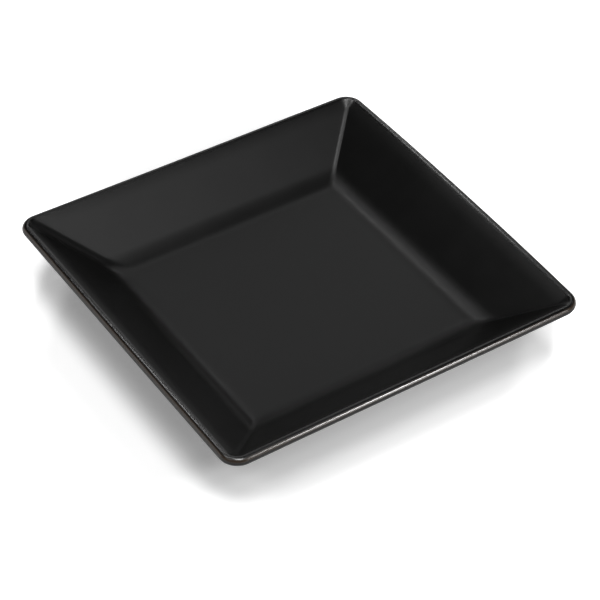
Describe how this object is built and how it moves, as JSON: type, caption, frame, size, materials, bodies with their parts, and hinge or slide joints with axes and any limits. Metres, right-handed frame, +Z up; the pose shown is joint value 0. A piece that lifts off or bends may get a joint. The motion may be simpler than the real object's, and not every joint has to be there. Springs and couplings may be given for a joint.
{
  "type": "dessert plate",
  "caption": "Square black stoneware dessert plate with a flat well, sloped mitred walls, a rounded lip and a bare clay foot ring underneath.",
  "frame": {"origin": "on the table, under the middle of the plate", "axes": "+Z up, away from the table; +X and +Y at right angles to the sides"},
  "size_m": [0.18, 0.18, 0.0275],
  "materials": {
    "clay": "bare fired stoneware, matt and slightly gritty",
    "glaze": "black satin glaze, thinner and browner along the lip"
  },
  "bodies": {
    "root": {"clay_body": "clay", "glaze_coat": "glaze", "base_glaze": "glaze"}
  },
  "joints": []
}
